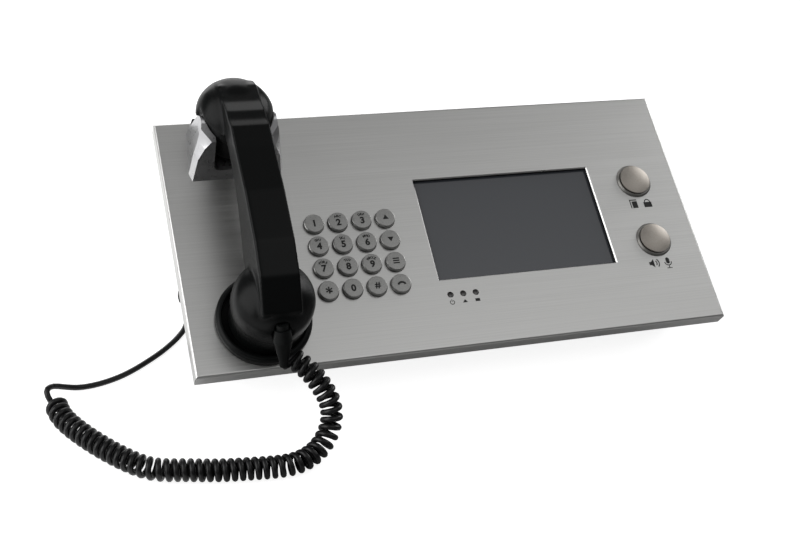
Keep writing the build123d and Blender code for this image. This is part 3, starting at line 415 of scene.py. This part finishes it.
button_x, button_slopes, button_sign_drop = 172.7, (128.2, 72.9), 21
lamp_slope, lamp_xs, lamp_mark_drop = 43.2, (-12.3, -1.9, 8.4), 6.4
door_and_lock = [
    box(-10, -4, -9.1, 4), box(-9.1, 3.1, -3.4, 4), box(-8.2, -4, -3.4, 2.3),
    box(2.4, -4, 9.6, 0.8), band(6, 0.8, 1.9, 2.8, 0, 180),
]
microphone_ends = [(radians(a), 0.2 if a > 180 else 2.4) for a in range(0, 360, 18)]
speaker_and_microphone = [
    [(-11, -1.4), (-9.2, -1.4), (-6.6, -3.8), (-6.6, 3.8), (-9.2, 1.4), (-11, 1.4)],
    band(-6.6, 0, 2, 2.9, -48, 48), band(-6.6, 0, 4, 4.9, -48, 48),
    [(6 + 1.7 * cos(a), y + 1.7 * sin(a)) for a, y in microphone_ends],
    band(6, 0.2, 2.6, 3.4, 180, 360), box(5.6, -5, 6.4, -3.3), box(3.6, -5.6, 8.4, -5),
]
lamp_marks = (
    [box(-0.3, 0.4, 0.3, 2.4), band(0, 0, 1.4, 2, 125, 415)],
    [[(-2, -1.2), (2, -1.2), (0, 1.5)]],
    [box(-1.9, -1.2, 1.9, 1.2)],
)
plate_marks = bmesh.new()
for outlines, slope in zip((door_and_lock, speaker_and_microphone), button_slopes):
    add_marks(plate_marks, outlines, on_deck(button_x, slope - button_sign_drop))
for outlines, x in zip(lamp_marks, lamp_xs):
    add_marks(plate_marks, outlines, on_deck(x, lamp_slope - lamp_mark_drop))
finished_marks(plate_marks, "plate_signs", "console")

# Cradle. Zinc casting, polished and chromed, with two lugs that hold the ear end of the handset.
# Four screws hold it from under the plate.
chrome = surface("satin_chrome", (0.5, 0.5, 0.51), 0.3, metal=1)
mottled(chrome, 400, roughs=(0.26, 0.36), bump=0.02)
dress(chrome, "cradle")

# Cup for the mouth end. A moulded black ring with a lightly eroded surface, held by three screws
# from under the plate.
cup_plastic = surface("cup_plastic", (0.0035, 0.004, 0.004), 0.34, gloss=0.12)
mottled(cup_plastic, 1800, roughs=(0.3, 0.45), bump=0.15, depth=0.00005)
dress(cup_plastic, "mouth_cup")

# Handset. Two black mouldings with a flat-backed handle between domed drums, and screwed caps.
# The edges are soft and the surface is finely eroded.
handset_plastic = surface("handset_plastic", (0.003, 0.0034, 0.0034), 0.3, gloss=0.12)
mottled(handset_plastic, 2200, roughs=(0.26, 0.36), bump=0.12, depth=0.00005)
same_point, grid_size, soften_share, soften_times = 2e-6, 0.0011, 0.5, 10


def one_solid(node, name):
    """Copy of a CAD solid with its triangles joined."""
    solid = bmesh.new()
    solid.from_mesh(nodes[node].data)
    bmesh.ops.remove_doubles(solid, verts=solid.verts, dist=same_point)
    mesh = bpy.data.meshes.new(name)
    solid.to_mesh(mesh)
    solid.free()
    copy = bpy.data.objects.new(name, mesh)
    scene.collection.objects.link(copy)
    return copy


rough_body = one_solid("handset_body", "handset_moulding")
grid = rough_body.modifiers.new("grid", "REMESH")
grid.mode, grid.voxel_size, grid.use_smooth_shade = "VOXEL", grid_size, True
soften = rough_body.modifiers.new("soften", "SMOOTH")
soften.factor, soften.iterations = soften_share, soften_times
soft_body = made_mesh(rough_body, "handset_moulding")
handset_moulding = new_piece("handset_moulding", soft_body, handset_plastic, "handset")
handset_moulding.data.shade_smooth()
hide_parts("handset_body")
dress(handset_plastic, "ear_cap", "mouth_cap")

# Boot and capsules of the handset: a tapered sleeve of black rubber where the cord leaves, and
# two pressed metal capsules that lie behind the caps.
boot_rubber = surface("boot_rubber", (0.0045, 0.005, 0.005), 0.42, gloss=0.1)
mottled(boot_rubber, 1500, roughs=(0.4, 0.55), bump=0.15, depth=0.00005)
dress(boot_rubber, "handset_boot")
capsule_metal = surface("capsule_metal", (0.55, 0.54, 0.5), 0.35, metal=1)
mottled(capsule_metal, 300, roughs=(0.28, 0.42))
dress(capsule_metal, "earpiece_capsule", "mouthpiece_capsule")

# Keys. Sixteen satin zinc discs in a square, each with its sign cut into the face and filled in
# black: digits with the usual letters of a telephone over them, and four plain signs.
key_metal = surface("key_metal", (0.32, 0.32, 0.31), 0.38, metal=1)
mottled(key_metal, 1200, ((0.27, 0.27, 0.265), (0.37, 0.37, 0.36)), roughs=(0.34, 0.46), bump=0.1)
keypad_x, keypad_slope, key_pitch, key_height, middle_place = -77.65, 83.8, 18.83, 3.7, 1.5
key_rows = (
    (("key_1", "1", ""), ("key_2", "2", "ABC"), ("key_3", "3", "DEF"), ("key_up", None, "")),
    (("key_4", "4", "GHI"), ("key_5", "5", "JKL"), ("key_6", "6", "MNO"), ("key_down", None, "")),
    (("key_7", "7", "PQRS"), ("key_8", "8", "TUV"), ("key_9", "9", "WXYZ"), ("key_menu", None, "")),
    (("key_star", "*", ""), ("key_0", "0", ""), ("key_hash", "#", ""), ("key_call", None, "")),
)
key_signs = {
    "key_up": [[(-2.4, -1.6), (2.4, -1.6), (0, 2.2)]],
    "key_down": [[(-2.4, 1.6), (0, -2.2), (2.4, 1.6)]],
    "key_menu": [box(-2.5, y - 0.5, 2.5, y + 0.5) for y in (-1.9, 0, 1.9)],
    "key_call": [band(0, -2.4, 2.2, 3.8, 20, 160)],
}
stroke = 0.042
digit_size, digit_drop, drop_under_letters = 7.4, 0.2, 0.9
other_digits = {"*": (12, 0.017), "#": (7, 0.03)}
letter_size, letter_reach, letter_step, letter_sink = 2.7, 4.4, 24, 0.02
for row, keys in enumerate(key_rows):
    for column, (name, digit, letters) in enumerate(keys):
        x = keypad_x + (column - middle_place) * key_pitch
        slope = keypad_slope - (row - middle_place) * key_pitch
        dress(key_metal, name)
        marks = bmesh.new()
        add_marks(marks, key_signs.get(name, []), on_deck(x, slope, key_height))
        if digit:
            size, bold = other_digits.get(digit, (digit_size, stroke))
            drop = drop_under_letters if letters else digit_drop
            add_letters(marks, digit, size, on_deck(x, slope - drop, key_height), bold)
        for i, letter in enumerate(letters):
            turn = (i - (len(letters) - 1) / 2) * letter_step
            aside, up = letter_reach * sin(radians(turn)), letter_reach * cos(radians(turn))
            spot = on_deck(x + aside, slope + up, key_height - letter_sink, -turn)
            add_letters(marks, letter, letter_size, spot, stroke)
        finished_marks(marks, name.replace("key_", "sign_"), name)

# Lamps. Three smoked plastic domes that stand in plain holes of the plate, on the small board
# under it.
lamp_lens = surface("lamp_lens", (0.02, 0.018, 0.018), 0.2, gloss=1)
mottled(lamp_lens, 800, roughs=(0.16, 0.26))
dress(lamp_lens, "indicator_lamps")

# Screen. A dark hardened window in a rubber gasket, with the display panel clamped behind it.
# The same black rubber makes the key mat, the feet and the cord's gland.
window_glass, coat, coat_rough = surface("window_glass", (0.041, 0.045, 0.053), 0.16), 0.6, 0.06
glass_shader = window_glass.node_tree.nodes["Principled BSDF"]
glass_shader.inputs["Coat Weight"].default_value = coat
glass_shader.inputs["Coat Roughness"].default_value = coat_rough
mottled(window_glass, 30, roughs=(0.15, 0.17))
dress(window_glass, "screen_window")
display_face = surface("display_face", (0.02, 0.02, 0.025), 0.4)
mottled(display_face, 200, roughs=(0.35, 0.5))
dress(display_face, "display_panel")
black_rubber = surface("black_rubber", (0.012, 0.012, 0.012), 0.7, gloss=0.25)
mottled(black_rubber, 1200, ((0.009, 0.009, 0.009), (0.018, 0.018, 0.018)), bump=0.2)
dress(black_rubber, "screen_gasket", "keypad_mat", "rubber_feet", "cord_gland", "gland_nut")

# Rim of the screen: the cut edge of the plate round the window, deburred and polished so that
# it catches the light.
polished_edge = surface("polished_edge", (0.62, 0.62, 0.61), 0.3, metal=1)
mottled(polished_edge, 60, roughs=(0.26, 0.34))
screen_spot, half_wide, half_high = on_deck(57.7, 100.5), 76.6, 44.8
rim_width, rim_rise, rim_depth = 0.8, 0.03, -0.8
rim, loops = bmesh.new(), []
for inset, height in ((0, rim_rise), (rim_width, rim_depth), (0, rim_depth)):
    wide, high = half_wide - inset, half_high - inset
    corners = [screen_spot @ (Vector((x * wide, y * high, height)) / 1000) for x, y in square]
    loops.append([rim.verts.new(corner) for corner in corners])
for one, other in zip(loops, loops[1:] + loops[:1]):
    for i in range(4):
        j = (i + 1) % 4
        rim.faces.new((one[i], one[j], other[j], other[i]))
bmesh.ops.recalc_face_normals(rim, faces=rim.faces)
rim_mesh = bpy.data.meshes.new("screen_rim")
rim.to_mesh(rim_mesh)
rim.free()
new_piece("screen_rim", rim_mesh, polished_edge, "console")

# Push buttons. Domed stainless caps, turned and satin, inside bevelled collars that are darker.
# A nut under the plate holds each collar.
button_metal = surface("button_metal", (0.4, 0.37, 0.335), 0.5, metal=1)
turned_colours = ((0.37, 0.34, 0.305), (0.43, 0.4, 0.365))
mottled(button_metal, 700, turned_colours, roughs=(0.46, 0.56), bump=0.06)
dress(button_metal, "unlock_button", "handsfree_button")
collar_metal = surface("collar_metal", (0.2, 0.195, 0.185), 0.45, metal=1)
mottled(collar_metal, 500, roughs=(0.4, 0.5))
dress(collar_metal, "button_collars")

# Housing. A powder-coated steel wedge under the plate, closed by a base plate on rubber feet.
# Both are folded or cut from sheet.
housing_paint = surface("housing_paint", (0.42, 0.43, 0.44), 0.5)
mottled(housing_paint, 1500, ((0.38, 0.39, 0.4), (0.46, 0.47, 0.48)), bump=0.3)
dress(housing_paint, "housing", "base_plate")

# Screws and nuts, and the bracket and pin of the hook switch: steel with bright zinc plate. The
# bracket of the display, the board spacers and the microphone are finished alike.
zinc = surface("zinc", (0.6, 0.6, 0.58), 0.35, metal=1)
mottled(zinc, 600, ((0.5, 0.5, 0.47), (0.68, 0.68, 0.67)), roughs=(0.28, 0.45))
dress(
    zinc, "base_screws", "plate_nuts", "stud_nuts", "cradle_screws", "cup_screws", "hook_bracket",
    "hook_pin", "button_nuts", "display_bracket", "board_spacers", "microphone",
)

# Switch blocks, hook lever, key frame and line socket: black moulded plastic. They hang under
# the plate or stand on the main board.
switch_plastic = surface("switch_plastic", (0.03, 0.03, 0.03), 0.45)
mottled(switch_plastic, 900, roughs=(0.4, 0.5), bump=0.1)
dress(switch_plastic, "hook_switch", "hook_lever", "button_switches", "keypad_frame", "line_socket")

# Boards: green epoxy-glass with their parts soldered on. The key board and the lamp board hang
# under the plate, and the main board stands on four spacers.
board_green = surface("board_green", (0.02, 0.09, 0.04), 0.35)
mottled(board_green, 250, ((0.015, 0.07, 0.03), (0.03, 0.12, 0.05)), roughs=(0.3, 0.45))
dress(board_green, "keypad_board", "indicator_board", "main_board")

# Small rows of equal metal parts: the eight contacts of the line socket and the legs of the chips
# on the main board. Each row comes from one tree that sets blocks along two lines.
contact_gold = surface("contact_gold", (0.75, 0.55, 0.22), 0.3, metal=1)
mottled(contact_gold, 700, roughs=(0.24, 0.4))
rows_tree = bpy.data.node_groups.new("rows_of_blocks", "GeometryNodeTree")
rows_tree.interface.new_socket("Geometry", in_out="OUTPUT", socket_type="NodeSocketGeometry")
for label, kind in (
    ("Along", "NodeSocketInt"), ("Across", "NodeSocketInt"),
    ("Step Along", "NodeSocketVector"), ("Step Across", "NodeSocketVector"),
    ("Block", "NodeSocketVector"), ("Material", "NodeSocketMaterial"),
):
    rows_tree.interface.new_socket(label, in_out="INPUT", socket_type=kind)
given = rows_tree.nodes.new("NodeGroupInput")
block = rows_tree.nodes.new("GeometryNodeMeshCube")
rows_tree.links.new(given.outputs["Block"], block.inputs["Size"])
repeated = block.outputs["Mesh"]
for count, step in (("Along", "Step Along"), ("Across", "Step Across")):
    line = rows_tree.nodes.new("GeometryNodeMeshLine")
    rows_tree.links.new(given.outputs[count], line.inputs["Count"])
    rows_tree.links.new(given.outputs[step], line.inputs["Offset"])
    placed = rows_tree.nodes.new("GeometryNodeInstanceOnPoints")
    rows_tree.links.new(line.outputs["Mesh"], placed.inputs["Points"])
    rows_tree.links.new(repeated, placed.inputs["Instance"])
    repeated = placed.outputs["Instances"]
real = rows_tree.nodes.new("GeometryNodeRealizeInstances")
rows_tree.links.new(repeated, real.inputs["Geometry"])
coloured = rows_tree.nodes.new("GeometryNodeSetMaterial")
rows_tree.links.new(real.outputs["Geometry"], coloured.inputs["Geometry"])
rows_tree.links.new(given.outputs["Material"], coloured.inputs["Material"])
rows_end = rows_tree.nodes.new("NodeGroupOutput")
rows_tree.links.new(coloured.outputs["Geometry"], rows_end.inputs["Geometry"])


def rows_of(name, material, first, counts, steps, size):
    """Rows of equal blocks, in millimetres.

    Given are the first block's centre, and the counts, the steps and the size of the blocks.
    """
    holder = bpy.data.objects.new(name, bpy.data.meshes.new(name))
    rows = holder.modifiers.new("rows", "NODES")
    rows.node_group = rows_tree
    values = {
        "Along": counts[0], "Across": counts[1], "Step Along": [v / 1000 for v in steps[0]],
        "Step Across": [v / 1000 for v in steps[1]], "Block": [v / 1000 for v in size],
        "Material": material,
    }
    for socket in rows_tree.interface.items_tree:
        if socket.name in values:
            rows[socket.identifier] = values[socket.name]
    mesh = made_mesh(holder, name)
    mesh.transform(Matrix.Translation(Vector(first) / 1000))
    return new_piece(name, mesh, material, "console")


back_wall_y, board_y, board_top = 81.45, 15.95, 14
contact_step, chip_width, leg_step, driver_width, driver_step = 1.02, 25, 1.6, 15, 2.1
for name, material, first, counts, steps, size in (
    (
        "line_contacts", contact_gold, (56.43, back_wall_y - 6.5, 22.95),
        (8, 1), ((contact_step, 0, 0), (0, 0, 0)), (0.5, 9, 0.5),
    ),
    (
        "chip_legs", zinc, (-50.4, board_y - 0.5, board_top),
        (14, 2), ((leg_step, 0, 0), (0, chip_width, 0)), (0.7, 1.4, 0.8),
    ),
    (
        "chip_side_legs", zinc, (-52.5, board_y + 1.6, board_top),
        (2, 14), ((chip_width, 0, 0), (0, leg_step, 0)), (1.4, 0.7, 0.8),
    ),
    (
        "driver_legs", zinc, (0.5, board_y - 2.4, board_top),
        (2, 9), ((driver_width, 0, 0), (0, driver_step, 0)), (1.4, 0.8, 0.8),
    ),
):
    rows_of(name, material, first, counts, steps, size)

# Loudspeaker: a steel basket with a black paper cone. It is fixed inside the perforated wall of
# the housing.
speaker_black = surface("speaker_black", (0.02, 0.02, 0.02), 0.6)
mottled(speaker_black, 900, ((0.014, 0.014, 0.014), (0.03, 0.03, 0.03)), bump=0.2)
dress(speaker_black, "loudspeaker")
